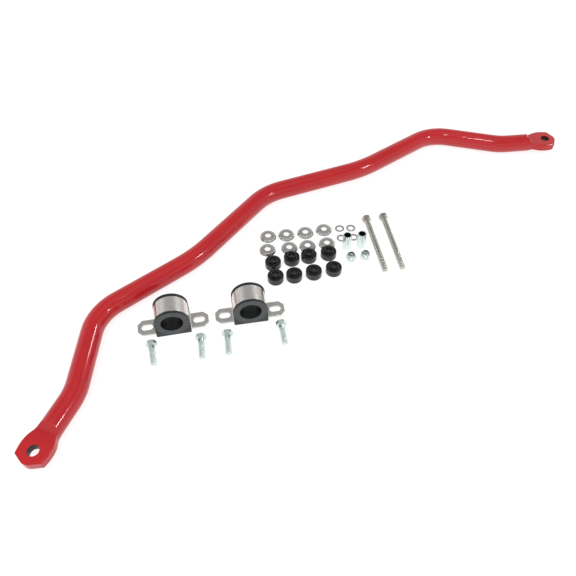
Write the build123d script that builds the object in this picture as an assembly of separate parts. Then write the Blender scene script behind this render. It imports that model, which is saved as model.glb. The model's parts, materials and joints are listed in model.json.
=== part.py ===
from build123d import *
import math
import os

# A vehicle's front sway bar with the loose hardware that mounts it, laid out on a
# flat surface.  Millimetres.  X runs along the bar and the plane X = 0 is the bar's
# plane of symmetry, Y points away from the bar's arms, +Z is up and Z = 0 is the
# surface that every piece rests on.

# ---------------------------------------------------------------- driving sizes

# Bar: runs from the centre bend out to an eye, each with its length between bend
# points and its angle below the X axis, and the bend radii along the centreline.
bar_diameter = 31.75
centre_run, centre_angle = 187.3, 16.5
seat_run, seat_angle = 174.1, 1.6
drop_run, drop_angle = 132.4, 51.5
arm_run, arm_angle = 88.2, 31.4
centre_bend, seat_bend, drop_bend, arm_bend = 98.8, 229.0, 73.0, 89.0

# Eye: the forged flat at each end of the bar, measured from the eye hole's centre.
eye_thickness = 12.7
eye_half_width = 22.6
eye_bulge_radius = 36.0
eye_tip = 19.0
eye_corner = 10.5
eye_neck = 34.0
eye_hole_diameter = 15.1
eye_edge_round = 2.0
flat_start = 24.0
flat_run_out = 20.0

# Frame bushing, a domed block that wraps the bar.
bushing_length = 36.0
bushing_wall = 9.525
bushing_floor = 11.125
bushing_lip_width = 4.2
bushing_slit = 0.5
bushing_edge_round = 0.8
bar_running_clearance = 0.05

# Strap that clamps the bushing to the frame.
strap_thickness = 3.0
strap_below_lip = 0.8
strap_clearance = 0.3
strap_end_clearance = 0.3
strap_ear_lift = 1.5
strap_ear_chamfer = 7.0
strap_bend_radius = 2.5
slot_length = 17.0
slot_edge = 5.5
slot_root = 4.9
slot_clearance = 0.39

# Three-eighths hexagon hardware, shared by the bracket bolts, link bolts and nuts.
thread_diameter = 9.525
thread_depth = 0.79
hex_wall = 2.38
hex_head_height = 6.0
hex_head_chamfer = 1.1
bolt_tip_chamfer = 1.1
bracket_bolt_length = 31.75
link_bolt_length = 114.3
bolt_hole_clearance = 0.2

# Cup washer, cup side down.
cup_diameter = 28.6
cup_skirt_run = 2.8
cup_height = 4.4
cup_thickness = 1.6

# Grommet, with the spigot that seats in the eye hole pointing up.
grommet_diameter = 25.4
grommet_height = 12.7
grommet_spigot_height = 4.0
grommet_spigot_clearance = 0.2
grommet_rim_width = 2.3
grommet_recess_depth = 1.2
grommet_base_round = 2.2
grommet_rim_round = 0.9

# Flat washer.
flat_washer_diameter = 15.9
flat_washer_thickness = 1.6

# Spacer sleeve of the end link.
sleeve_wall = 1.65
sleeve_slack = 0.54
sleeve_height = 28.6
sleeve_edge_round = 0.4

# Lock nut and its nylon ring.
nut_hex_height = 8.4
nut_height = 11.6
nut_collar_wall = 0.7
nut_lip = 0.7
nut_chamfer = 0.9
insert_height = 2.3
insert_band = 0.84
insert_bite = 0.31
insert_clearance = 0.02

# Gaps between the loose pieces: from one cup washer or grommet to the next, and from
# one strap's ear to the next strap's.
cell_gap = 2.4
bay_gap = 10.0

# Where the loose pieces lie, as (X, Y) from the bar's centre bend point and, where it
# matters, the angle about Z that they point.  They were set down by hand, so the rows
# are uneven.  One unit is a bay, or a cell for the end link pieces.
bushing_places = {"left": (-2.379, -1.177, -27.0), "right": (-1.491, -1.639, -28.5)}
bracket_bolt_places = [(-2.825, -1.423, -114.1), (-2.292, -1.715, -120.0),
                       (-1.998, -1.871, -121.2), (-1.360, -2.174, -118.2)]
link_bolt_places = [(2.427, -6.436, -118.0), (3.263, -6.872, -118.5)]
cup_washer_places = [(-1.674, -2.403), (-0.826, -2.926), (0.090, -3.426), (1.026, -3.877),
                     (-2.294, -3.184), (-1.300, -3.781), (-0.445, -4.268), (0.490, -4.761)]
grommet_places = [(-2.739, -4.258), (-1.781, -4.594), (-0.968, -5.000), (-0.032, -5.481),
                  (-3.213, -5.094), (-2.390, -5.571), (-1.484, -6.029), (-0.535, -6.477)]
flat_washer_places = [(1.781, -4.323), (2.287, -4.674), (1.374, -4.929), (1.932, -5.290)]
sleeve_places = [(1.145, -5.590), (1.816, -5.984)]
nut_places = [(0.771, -6.365, 12.0), (1.429, -6.732, 40.0)]

# --------------------------------------------------------------- derived sizes

bar_radius = bar_diameter / 2
bushing_bore_radius = bar_radius + bar_running_clearance
bushing_bore_height = bar_radius + bushing_floor
bushing_dome_radius = bar_radius + bushing_wall
strap_outer_radius = bushing_dome_radius - strap_below_lip
strap_inner_radius = strap_outer_radius - strap_thickness
groove_radius = strap_inner_radius - strap_clearance
groove_width = bushing_length - 2 * bushing_lip_width
strap_width = groove_width - 2 * strap_end_clearance

thread_radius = thread_diameter / 2
thread_root_radius = thread_radius - thread_depth
bolt_hole_radius = thread_radius + bolt_hole_clearance
hex_flat_radius = thread_radius + hex_wall
hex_corner_radius = 2 * hex_flat_radius / math.sqrt(3)
slot_width = 2 * (thread_radius + slot_clearance)
slot_centre = strap_outer_radius + slot_root + slot_length / 2
strap_ear_reach = slot_centre + slot_length / 2 + slot_edge

spigot_radius = eye_hole_diameter / 2 - grommet_spigot_clearance
sleeve_bore_radius = bolt_hole_radius + sleeve_slack
sleeve_radius = sleeve_bore_radius + sleeve_wall
insert_outer_radius = thread_radius + insert_band
insert_bore_radius = thread_radius - insert_bite
nut_collar_radius = insert_outer_radius + insert_clearance + nut_collar_wall
insert_base = nut_height - nut_lip - insert_height

bay = 2 * strap_ear_reach + bay_gap
cell = max(cup_diameter, grommet_diameter) + cell_gap


# --------------------------------------------------------------------- the bar

def bar_points():
    """Bend points of the bar's right half, from its centre bend to its eye."""
    points = [(0.0, 0.0)]
    for run, angle in ((centre_run, centre_angle), (seat_run, seat_angle),
                       (drop_run, drop_angle), (arm_run, arm_angle)):
        x, y = points[-1]
        slope = math.radians(angle)
        points.append((x + run * math.cos(slope), y - run * math.sin(slope)))
    return points


def tangent_arcs(near, far, first_radius):
    """Two arcs that leave near and reach far along X, as one smooth S.

    The first has the radius given and the second takes what the step leaves.
    """
    run, step = abs(far[0] - near[0]), abs(far[1] - near[1])
    both = (run * run + step * step) / (2 * step)
    share = first_radius / both
    middle = (near[0] + (far[0] - near[0]) * share, near[1] + (far[1] - near[1]) * share)
    first = TangentArc(near, middle, tangent=(math.copysign(1, far[0] - near[0]), 0))
    second = TangentArc(middle, far, tangent=first % 1)
    return [first, second]


def eye_outline():
    """Plan of the forged eye: a bulging flat with two corners and an arched tip."""
    centre_y = eye_half_width - eye_bulge_radius
    corner_y = centre_y + math.sqrt(eye_bulge_radius**2 - eye_corner**2)
    half_turn = math.atan2(eye_corner, eye_bulge_radius) / 2
    middle = (eye_bulge_radius * math.sin(half_turn),
              centre_y + eye_bulge_radius * math.cos(half_turn))
    side = [ThreePointArc((eye_corner, corner_y), middle, (0, eye_half_width))]
    side += tangent_arcs((0, eye_half_width), (-eye_neck, bar_radius), eye_bulge_radius)
    tip = ThreePointArc((eye_corner, -corner_y), (eye_tip, 0), (eye_corner, corner_y))
    neck = Line((-eye_neck, bar_radius), (-eye_neck, -bar_radius))
    mirrored = [edge.mirror(Plane.XZ) for edge in side]
    return make_face(side + mirrored + [tip, neck])


def flattening_cutter():
    """What forging takes off the top of the round bar on its way to the flat."""
    start = (-flat_start - flat_run_out, bar_radius)
    end = (-flat_start, eye_thickness / 2)
    step = bar_radius - eye_thickness / 2
    balanced = (flat_run_out**2 + step**2) / (4 * step)
    slope = tangent_arcs(start, end, balanced)
    top = bar_radius + eye_thickness
    edge = Polyline(end, (eye_tip, eye_thickness / 2), (eye_tip, top), (start[0], top), start)
    profile = Plane.XZ * make_face(slope + [edge])
    return extrude(profile, eye_half_width, both=True)


def sway_bar():
    """The bent round bar with a forged eye at each end, as one solid."""
    right = bar_points()
    left = [(-x, y) for x, y in reversed(right[1:])]
    bends = [arm_bend, drop_bend, seat_bend]
    radii = bends + [centre_bend] + bends[::-1]
    path = FilletPolyline(*(left + right), radius=radii)
    axis = Plane(origin=path @ 0, z_dir=path % 0)
    bar = Pos(0, 0, bar_radius) * sweep(axis * Circle(bar_radius), path=path)

    flat = extrude(eye_outline(), eye_thickness / 2, both=True)
    rims = flat.edges().filter_by(lambda edge: abs(abs(edge.center().Z) - eye_thickness / 2) < 1e-3)
    rims = rims.filter_by(lambda edge: edge.center().X > -eye_neck + 1)
    flat = fillet(rims, eye_edge_round)
    upper = flattening_cutter()
    lower = upper.mirror(Plane.XY)
    hole = Cylinder(eye_hole_diameter / 2, 2 * eye_thickness)
    eye_x, eye_y = right[-1]
    for turn, x in ((-arm_angle, eye_x), (180 + arm_angle, -eye_x)):
        eye = Location((x, eye_y, bar_radius), (0, 0, turn))
        bar = bar - (eye * upper) - (eye * lower)
        bar = bar + (eye * flat) - (eye * hole)
    return bar


# ------------------------------------------------------------ bushing and strap

def dome(radius, length):
    """Block with a flat base at Z = 0 and a round top about the bore's centre."""
    straight = Pos(0, 0, bushing_bore_height / 2) * Box(2 * radius, length, bushing_bore_height)
    top = Pos(0, 0, bushing_bore_height) * Rot(90, 0, 0) * Cylinder(radius, length)
    return straight + top


def frame_bushing():
    """Polyurethane bushing with a lip at each end and a slit under the bore."""
    block = dome(bushing_dome_radius, bushing_length)
    ends = block.faces().sort_by(Axis.Y)
    rims = ends[0].edges() + ends[-1].edges()
    block = fillet(rims.filter_by(lambda edge: edge.center().Z > 1e-3), bushing_edge_round)
    outside = dome(bushing_dome_radius + bushing_lip_width, groove_width)
    block = block - (outside - dome(groove_radius, groove_width))
    bore = Rot(90, 0, 0) * Cylinder(bushing_bore_radius, 2 * bushing_length)
    slit = Pos(0, 0, bushing_bore_height / 2) * Box(bushing_slit, 2 * bushing_length,
                                                    bushing_bore_height)
    return block - (Pos(0, 0, bushing_bore_height) * bore) - slit


def ear_slots():
    """The two long holes through the strap's ears, along X."""
    slot = extrude(SlotOverall(slot_length, slot_width), bushing_bore_height)
    return Pos(slot_centre, 0, 0) * slot + Pos(-slot_centre, 0, 0) * slot


def bushing_strap():
    """Bent steel strap: a dome over the bushing and a slotted ear on each side."""
    arch = dome(strap_outer_radius, strap_width) - dome(strap_inner_radius, 2 * strap_width)
    plan = chamfer(Rectangle(2 * strap_ear_reach, strap_width).vertices(), strap_ear_chamfer)
    ears = Pos(0, 0, strap_ear_lift) * extrude(plan, strap_thickness)
    ears = ears - dome(strap_inner_radius, 2 * strap_width)
    below = Pos(0, 0, strap_ear_lift / 2) * Box(4 * strap_ear_reach, 2 * strap_width, strap_ear_lift)
    strap = arch - below + ears

    def runs_along_y_at(x, z):
        def test(edge):
            centre = edge.center()
            return abs(abs(centre.X) - x) < 1e-3 and abs(centre.Z - z) < 1e-3
        return test

    inside = runs_along_y_at(strap_outer_radius, strap_ear_lift + strap_thickness)
    strap = fillet(strap.edges().filter_by(Axis.Y).filter_by(inside), strap_bend_radius)
    outside = runs_along_y_at(strap_inner_radius, strap_ear_lift)
    strap = fillet(strap.edges().filter_by(Axis.Y).filter_by(outside), strap_bend_radius)
    return strap - ear_slots()


# ------------------------------------------------------------------- fasteners

def ring(outer_radius, inner_radius, height):
    """Plain ring that stands on Z = 0."""
    return extrude(Circle(outer_radius) - Circle(inner_radius), height)


def turned(profile):
    """Solid of revolution about Z of a closed outline of (radius, height) points."""
    return revolve(Plane.XZ * make_face(Polyline(*profile, close=True)), Axis.Z)


def hexagon(height, chamfer_height, both_ends):
    """Hexagon prism on Z = 0 with its corners turned off at the top, or at both ends."""
    prism = extrude(RegularPolygon(hex_corner_radius, 6), height)
    clear = hex_corner_radius + chamfer_height
    face = hex_corner_radius - chamfer_height * math.sqrt(3)
    drop = chamfer_height * (1 + 1 / math.sqrt(3))
    start = [(face, 0), (clear, drop)] if both_ends else [(clear, 0)]
    return prism & turned([(0, 0)] + start + [(clear, height - drop), (face, height), (0, height)])


def lying_bolt(length):
    """Hexagon bolt on its side, head on one flat and its tip on the surface.

    The middle of its whole length is above the origin and the tip points along +X.
    """
    head = Rot(180, 0, 0) * hexagon(hex_head_height, hex_head_chamfer, False)
    shank = Pos(0, 0, length / 2) * Cylinder(thread_radius, length)
    tip = shank.edges().filter_by(GeomType.CIRCLE).sort_by(Axis.Z)[-1]
    shank = chamfer(tip, bolt_tip_chamfer)
    bolt = Rot(0, 0, 30) * (head + shank)
    lean = math.atan2(hex_wall, length - bolt_tip_chamfer)
    lift = hex_flat_radius * math.cos(lean)
    bolt = Rot(0, 90 + math.degrees(lean), 0) * bolt
    middle = (length - hex_head_height) / 2
    return Pos(-middle * math.cos(lean), 0, lift) * bolt


def cup_washer():
    """Pressed cup washer: flat crown with the bolt hole and a flared skirt."""
    rim = cup_diameter / 2
    crown = rim - cup_skirt_run
    skirt = math.hypot(rim - crown, cup_height)
    across = cup_thickness * skirt / cup_height
    under = cup_height - cup_thickness
    inner_crown = rim - across - (rim - crown) * under / cup_height
    return turned([(bolt_hole_radius, cup_height), (crown, cup_height), (rim, 0),
                   (rim - across, 0), (inner_crown, under), (bolt_hole_radius, under)])


def grommet():
    """Polyurethane grommet: thick ring, recessed top and a spigot round the bolt hole."""
    rim = grommet_diameter / 2
    body = ring(rim, bolt_hole_radius, grommet_height)
    recess = ring(rim - grommet_rim_width, bolt_hole_radius, grommet_height)
    body = body - Pos(0, 0, grommet_height - grommet_recess_depth) * recess
    circles = body.edges().filter_by(GeomType.CIRCLE).filter_by(
        lambda edge: abs(edge.radius - rim) < 1e-3).sort_by(Axis.Z)
    body = fillet(circles[0], grommet_base_round)
    circles = body.edges().filter_by(GeomType.CIRCLE).filter_by(
        lambda edge: abs(edge.radius - rim) < 1e-3).sort_by(Axis.Z)
    body = fillet(circles[-1], grommet_rim_round)
    floor = grommet_height - grommet_recess_depth
    spigot = ring(spigot_radius, bolt_hole_radius, grommet_recess_depth + grommet_spigot_height)
    return body + Pos(0, 0, floor) * spigot


def flat_washer():
    """Plain flat washer."""
    return ring(flat_washer_diameter / 2, bolt_hole_radius, flat_washer_thickness)


def spacer_sleeve():
    """Tube that stands on its end and spaces the end link's grommets."""
    tube = ring(sleeve_radius, sleeve_bore_radius, sleeve_height)
    return fillet(tube.edges().filter_by(GeomType.CIRCLE), sleeve_edge_round)


def lock_nut():
    """Hexagon nut with a collar whose lip is rolled over a nylon ring."""
    body = hexagon(nut_hex_height, nut_chamfer, True)
    body = body + ring(nut_collar_radius, thread_root_radius, nut_height)
    rims = body.edges().filter_by(GeomType.CIRCLE).filter_by(
        lambda edge: abs(edge.radius - nut_collar_radius) < 1e-3)
    body = fillet(rims.sort_by(Axis.Z)[-1], nut_lip / 2)
    pocket = Pos(0, 0, insert_base) * extrude(
        Circle(insert_outer_radius + insert_clearance), insert_height)
    mouth = Pos(0, 0, insert_base) * extrude(Circle(insert_bore_radius), nut_height)
    thread = Cylinder(thread_root_radius, 4 * nut_height)
    return body - pocket - mouth - thread


def lock_nut_insert():
    """Nylon ring held in the lock nut's collar."""
    height = insert_height - 2 * insert_clearance
    return Pos(0, 0, insert_base + insert_clearance) * ring(
        insert_outer_radius, insert_bore_radius, height)


# -------------------------------------------------------------------- assembly

def placed(shape, places, unit):
    """Copies of a shape at places of (X, Y) in units and, if given, an angle about Z."""
    copies = []
    for x, y, *angle in places:
        place = Location((x * unit, y * unit, 0), (0, 0, angle[0] if angle else 0))
        copies.append(place * shape)
    return copies


def build_nodes():
    """Every node by its name, in the frame of the bar's centre bend point."""
    named = {"sway_bar": sway_bar()}
    sides = bushing_places.keys()
    for name, shape in (("frame_bushing", frame_bushing()), ("bushing_strap", bushing_strap())):
        copies = placed(shape, bushing_places.values(), bay)
        named |= {f"{name}_{side}": copy for side, copy in zip(sides, copies)}
    groups = (("bracket_bolt", lying_bolt(bracket_bolt_length), bracket_bolt_places, bay),
              ("link_bolt", lying_bolt(link_bolt_length), link_bolt_places, cell),
              ("cup_washer", cup_washer(), cup_washer_places, cell),
              ("grommet", grommet(), grommet_places, cell),
              ("flat_washer", flat_washer(), flat_washer_places, cell),
              ("spacer_sleeve", spacer_sleeve(), sleeve_places, cell),
              ("lock_nut", lock_nut(), nut_places, cell),
              ("lock_nut_insert", lock_nut_insert(), nut_places, cell))
    for name, shape, places, unit in groups:
        for count, copy in enumerate(placed(shape, places, unit), 1):
            named[f"{name}_{count}"] = copy
    return named


nodes = build_nodes()

# The origin is under the middle of the whole layout, so every node moves along Y.
boxes = [shape.bounding_box() for shape in nodes.values()]
origin_y = (min(box.min.Y for box in boxes) + max(box.max.Y for box in boxes)) / 2

os.makedirs("parts", exist_ok=True)
for name, shape in nodes.items():
    export_step(Pos(0, -origin_y, 0) * shape, f"parts/{name}.step")
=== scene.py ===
"""A sway bar and its mounting hardware, laid out on a pale floor: shapes, finishes and studio.

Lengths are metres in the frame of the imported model.  Each loose piece is worked out about its own
axes and carried to the place that the model's mounts give.  Two attributes go with every vertex:
"local", the point in the piece's own axes, and "grain", which runs with the metal's drawn surface.
The bar has a third, "pierced", which marks the walls of its holes.
"""
import json
import logging
import math
from dataclasses import dataclass, field
from enum import Enum
from typing import Any, Union

import bpy
import numpy as np
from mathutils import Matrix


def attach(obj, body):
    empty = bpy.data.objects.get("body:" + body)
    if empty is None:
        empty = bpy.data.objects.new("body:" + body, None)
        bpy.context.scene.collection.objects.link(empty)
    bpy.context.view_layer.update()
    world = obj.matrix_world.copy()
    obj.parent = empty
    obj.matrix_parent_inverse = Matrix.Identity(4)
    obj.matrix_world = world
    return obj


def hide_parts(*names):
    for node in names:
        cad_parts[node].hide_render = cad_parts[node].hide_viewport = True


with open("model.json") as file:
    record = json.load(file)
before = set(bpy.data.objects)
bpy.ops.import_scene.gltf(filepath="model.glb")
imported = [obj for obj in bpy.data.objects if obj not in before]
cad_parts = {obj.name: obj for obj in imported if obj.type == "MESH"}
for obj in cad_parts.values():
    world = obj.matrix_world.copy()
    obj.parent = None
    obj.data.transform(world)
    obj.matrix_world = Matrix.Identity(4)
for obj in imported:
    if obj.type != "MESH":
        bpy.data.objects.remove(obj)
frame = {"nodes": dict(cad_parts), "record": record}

Array = np.ndarray
Colour = tuple[float, float, float]
log = logging.getLogger("sway_bar")

MM = 0.001
SQRT3 = math.sqrt(3.0)
UP = np.array([0.0, 0.0, 1.0])
TINY = 1e-6


# ------------------------------------------------------------------------ numbers on grids

def smooth_min(first: Array, second: Array, sharpness: float) -> Array:
    """The smaller of two positive lengths, blended where they are near each other.

    Formula: the sum of both to the power of minus the sharpness, to minus one over it.

    Args:
        first: Positive lengths.
        second: Positive lengths.
        sharpness: Power of the blend; a larger one gives a tighter corner.

    Returns:
        The blended smaller length.
    """
    least = np.minimum(first, second)
    total = (least / first) ** sharpness + (least / second) ** sharpness
    return least * total ** (-1 / sharpness)


def smooth_max(first: Array, second: Array, sharpness: float) -> Array:
    """The larger of two positive lengths, blended as smooth_min blends the smaller."""
    return 1 / smooth_min(1 / first, 1 / second, sharpness)


def smooth_step(value: Array) -> Array:
    """Rise from 0 to 1 with level ends: three squares less two cubes, held to 0 and 1."""
    held = np.clip(value, 0.0, 1.0)
    return held * held * (3 - 2 * held)


def turned_outline(corners: list[tuple[float, float, float]], steps: int = 5) -> Array:
    """Closed outline through corners, each rounded by an arc tangent to its two sides.

    Formula: the arc starts and ends at the radius times the tangent of half the turn from its
    corner, and each of its points is the start turned about the arc's centre.  Beside each arc
    one more point keeps the shading of the long sides flat.

    Args:
        corners: Corners as (across, along, radius).
        steps: Points on each arc.

    Returns:
        Points as rows of (across, along).
    """
    table = np.array(corners, float)
    points, radii = table[:, :2], table[:, 2]
    before = np.roll(points, 1, axis=0) - points
    after = np.roll(points, -1, axis=0) - points
    before_length = np.linalg.norm(before, axis=1)
    after_length = np.linalg.norm(after, axis=1)
    before /= before_length[:, None]
    after /= after_length[:, None]
    half = np.arccos(np.clip((before * after).sum(1), -1, 1)) / 2
    setback = radii / np.tan(half)
    bisector = before + after
    bisector /= np.maximum(np.linalg.norm(bisector, axis=1), 1e-12)[:, None]
    centre = points + bisector * (radii / np.sin(half))[:, None]
    share = np.linspace(0, 1, steps)[None, :, None]
    start = points + before * setback[:, None] - centre
    end = points + after * setback[:, None] - centre
    sweep = (math.pi - 2 * half)[:, None, None]
    weight_start = np.sin((1 - share) * sweep) / np.maximum(np.sin(sweep), 1e-9)
    weight_end = np.sin(share * sweep) / np.maximum(np.sin(sweep), 1e-9)
    bent = np.abs(np.sin(sweep)) > TINY
    arc = np.where(bent, weight_start * start[:, None] + weight_end * end[:, None],
                   start[:, None])
    rounded = centre[:, None] + arc
    rounded = np.where(radii[:, None, None] > 0, rounded, points[:, None])
    guard_share, guard = 0.12, 0.25 * MM
    lead = np.minimum(guard_share * before_length, guard)
    trail = np.minimum(guard_share * after_length, guard)
    inward = points + before * (setback + lead)[:, None]
    outward = points + after * (setback + trail)[:, None]
    outline = np.concatenate([inward[:, None], rounded, outward[:, None]], axis=1).reshape(-1, 2)
    same = 1e-7
    gap = np.linalg.norm(np.diff(outline, axis=0, prepend=outline[-1:] + 1), axis=1)
    outline = outline[gap > same]
    if np.linalg.norm(outline[0] - outline[-1]) < same:
        outline = outline[:-1]
    return outline


@dataclass(frozen=True)
class Route:
    """A flat line of straight runs joined by tangent arcs.

    Attributes:
        corners: Corner points in order, as rows of two.
        radii: Bend radius at each inner corner.
    """

    corners: Array
    radii: Array

    def runs(self) -> tuple[Array, Array, Array, Array]:
        """Start points, start headings, curvatures and lengths of the runs and arcs in order."""
        sides = np.diff(self.corners, axis=0)
        headings = np.arctan2(sides[:, 1], sides[:, 0])
        turns = (np.diff(headings) + math.pi) % (2 * math.pi) - math.pi
        setback = self.radii * np.tan(np.abs(turns) / 2)
        directions = sides / np.linalg.norm(sides, axis=1)[:, None]
        leaving = np.concatenate([[0.0], setback])
        arriving = np.concatenate([setback, [0.0]])
        count = 2 * len(sides) - 1
        lengths, curvatures, start_headings = np.zeros(count), np.zeros(count), np.zeros(count)
        starts = np.zeros((count, 2))
        lengths[0::2] = np.linalg.norm(sides, axis=1) - leaving - arriving
        lengths[1::2] = self.radii * np.abs(turns)
        curvatures[1::2] = np.sign(turns) / self.radii
        start_headings[0::2] = headings
        start_headings[1::2] = headings[:-1]
        starts[0::2] = self.corners[:-1] + directions * leaving[:, None]
        starts[1::2] = self.corners[1:-1] - directions[:-1] * setback[:, None]
        return starts, start_headings, curvatures, lengths

    def length(self) -> float:
        """Length of the whole line."""
        return float(self.runs()[3].sum())

    def at(self, stations: Array) -> tuple[Array, Array]:
        """Points and headings at stations along the line.

        Formula: on a run of curvature k, a distance d from its start, the point moves ahead by
        sin(kd)/k and aside by (1 - cos(kd))/k, and the heading turns by kd.

        Args:
            stations: Distances from the line's start.

        Returns:
            Points as rows of two, and headings in radians.
        """
        starts, headings, curvatures, lengths = self.runs()
        ends = np.cumsum(lengths)
        which = np.clip(np.searchsorted(ends, stations, side="left"), 0, len(lengths) - 1)
        distance = stations - (ends - lengths)[which]
        turn = curvatures[which] * distance
        ahead = distance * np.sinc(turn / math.pi)
        aside = distance * np.sin(turn / 2) * np.sinc(turn / (2 * math.pi))
        heading = headings[which]
        forward = np.stack([np.cos(heading), np.sin(heading)], axis=1)
        left = np.stack([-np.sin(heading), np.cos(heading)], axis=1)
        points = starts[which] + forward * ahead[:, None] + left * aside[:, None]
        return points, heading + turn


# ------------------------------------------------------------------------------ mesh pieces

@dataclass(frozen=True)
class Axes:
    """Where a piece's own axes lie.

    Attributes:
        origin: The piece's own origin.
        x: Direction of its X axis.
        z: Direction of its Z axis.
    """

    origin: Array
    x: Array
    z: Array = field(default_factory=lambda: UP.copy())

    def carry(self, points: Array) -> Array:
        """Points of the piece's own axes, carried to the model's frame."""
        x = self.x / np.linalg.norm(self.x)
        z = self.z / np.linalg.norm(self.z)
        return self.origin + points @ np.stack([x, np.cross(z, x), z])

    @classmethod
    def standing(cls, x: float, y: float, turn: float = 0.0) -> "Axes":
        """Axes of a piece that stands on the floor, turned about Z."""
        return cls(np.array([x, y, 0.0]), np.array([math.cos(turn), math.sin(turn), 0.0]))


@dataclass
class Shell:
    """A closed surface over a grid of rows and columns; the columns always close on themselves.

    Attributes:
        points: Points as (rows, columns, 3).
        ring: Whether the last row joins the first; if not, each end closes on its middle.
        grain: Grain coordinates as (rows, columns, 3), or nothing for the points themselves.
    """

    points: Array
    ring: bool = False
    grain: Union[Array, None] = None

    def vertices(self) -> tuple[Array, Array]:
        """Points and grain coordinates of every vertex, with the two end middles last."""
        grain = self.points if self.grain is None else self.grain
        points, grains = self.points.reshape(-1, 3), grain.reshape(-1, 3)
        if not self.ring:
            ends = np.stack([self.points[0].mean(0), self.points[-1].mean(0)])
            end_grain = np.stack([grain[0].mean(0), grain[-1].mean(0)])
            points, grains = np.vstack([points, ends]), np.vstack([grains, end_grain])
        return points, grains

    def faces(self) -> tuple[Array, Array]:
        """Four-sided faces of the grid and the triangles that close its ends."""
        rows, columns = self.points.shape[:2]
        index = np.arange(rows * columns).reshape(rows, columns)
        index = np.concatenate([index, index[:, :1]], axis=1)
        if self.ring:
            index = np.concatenate([index, index[:1]], axis=0)
        quads = np.stack([index[:-1, :-1], index[1:, :-1], index[1:, 1:], index[:-1, 1:]], axis=-1)
        fans = np.zeros((0, 3), int)
        if not self.ring:
            first, last = rows * columns, rows * columns + 1
            start = np.stack([index[0, :-1], index[0, 1:], np.full(columns, first)], axis=1)
            end = np.stack([index[-1, 1:], index[-1, :-1], np.full(columns, last)], axis=1)
            fans = np.vstack([start, end])
        return quads.reshape(-1, 4), fans


def mesh_piece(name: str, shell: Shell, axes: Axes, crease: float = 30.0) -> bpy.types.Object:
    """Makes a mesh of one closed shell, with its faces outward.

    The signed volume is a sixth of the sum, over the triangles, of the first corner dotted with
    the cross product of the other two; where it is negative every face is turned round.

    Args:
        name: Name of the piece.
        shell: The surface in the piece's own axes.
        axes: Where those axes lie.
        crease: Angle between faces, in degrees, past which an edge is shaded sharp.

    Returns:
        The object, at the origin and unturned.
    """
    local, grain = shell.vertices()
    quads, fans = shell.faces()
    triangles = np.vstack([quads[:, [0, 1, 2]], quads[:, [0, 2, 3]], fans])
    a, b, c = (local[triangles[:, k]] for k in range(3))
    if np.einsum("ij,ij->i", a, np.cross(b, c)).sum() < 0:
        quads, fans = quads[:, ::-1], fans[:, ::-1]
    mesh = bpy.data.meshes.new(name)
    mesh.from_pydata(axes.carry(local).tolist(), [], quads.tolist() + fans.tolist())
    for attribute, values in (("local", local), ("grain", grain)):
        layer = mesh.attributes.new(attribute, "FLOAT_VECTOR", "POINT")
        layer.data.foreach_set("vector", values.astype(np.float32).ravel())
    mesh.shade_smooth()
    mesh.set_sharp_from_angle(angle=math.radians(crease))
    mesh.validate()
    piece = bpy.data.objects.new(name, mesh)
    bpy.context.scene.collection.objects.link(piece)
    return piece


def cut(piece: bpy.types.Object, cutters: list[bpy.types.Object], crease: float) -> None:
    """Takes cutters out of a piece for good, and sets its sharp edges again.

    Args:
        piece: The piece that is cut.
        cutters: Closed pieces that are removed afterwards.
        crease: Angle past which an edge is shaded sharp, in degrees.
    """
    for cutter in cutters:
        modifier = piece.modifiers.new("cut", "BOOLEAN")
        modifier.operation = "DIFFERENCE"
        modifier.solver = "EXACT"
        modifier.object = cutter
    bpy.context.view_layer.update()
    evaluated = piece.evaluated_get(bpy.context.evaluated_depsgraph_get())
    mesh = bpy.data.meshes.new_from_object(evaluated)
    piece.modifiers.clear()
    old, piece.data = piece.data, mesh
    mesh.name = piece.name
    bpy.data.meshes.remove(old)
    mesh.shade_smooth()
    mesh.set_sharp_from_angle(angle=math.radians(crease))
    for cutter in cutters:
        bpy.data.objects.remove(cutter)


def lathe(profile: Array, sides: int = 96) -> Shell:
    """Closed ring swept by an outline turned about Z.

    Formula: (radius cos a, radius sin a, height) for each outline point and each angle a.

    Args:
        profile: Rows of (radius, height).
        sides: Steps about the axis.

    Returns:
        The shell; its grain is (radius, height, a fifth of X).
    """
    angle = np.linspace(0, 2 * math.pi, sides, endpoint=False)[:, None]
    radius, height = profile[None, :, 0], profile[None, :, 1]
    flat = np.zeros((sides, len(profile)))
    points = np.stack([radius * np.cos(angle), radius * np.sin(angle), height + flat], axis=-1)
    across = 0.2 * points[..., 0]
    grain = np.stack([radius + flat, height + flat, across], axis=-1)
    return Shell(points, ring=True, grain=grain)


def slot_cutter(length: float, width: float, thickness: float, round_over: float) -> Shell:
    """Slot-shaped plug along Z whose two ends flare, so that it leaves rounded edges.

    Formula: a half circle about each end of the slot's middle line.  Its radius is half the width
    and, within the round-over of a face, grows by one less the quarter circle's height there.

    Args:
        length: Length over all; equal to the width for a round hole.
        width: Width of the slot.
        thickness: Distance between the two faces that it cuts.
        round_over: Radius left on the edges.

    Returns:
        The shell, centred on the origin.
    """
    sides, past_edge = 96, 1.02
    angle = (np.arange(sides) + 0.5) * (2 * math.pi / sides)
    share = np.linspace(0, 1, 6)
    rise = thickness / 2 - round_over + round_over * np.sin(share * math.pi / 2)
    flare = round_over * (1 - np.cos(share * math.pi / 2))
    height = np.concatenate([[-thickness], -rise[::-1], rise, [thickness]])
    mouth = [round_over * past_edge]
    grow = np.concatenate([mouth, flare[::-1], flare, mouth])
    radius = (width / 2 + grow)[:, None]
    x = np.sign(np.cos(angle)) * (length - width) / 2 + radius * np.cos(angle)
    y = radius * np.sin(angle)
    z = np.broadcast_to(height[:, None], x.shape)
    return Shell(np.stack([x, y, z], axis=-1))


# -------------------------------------------------------------------------- shader writing

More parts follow.
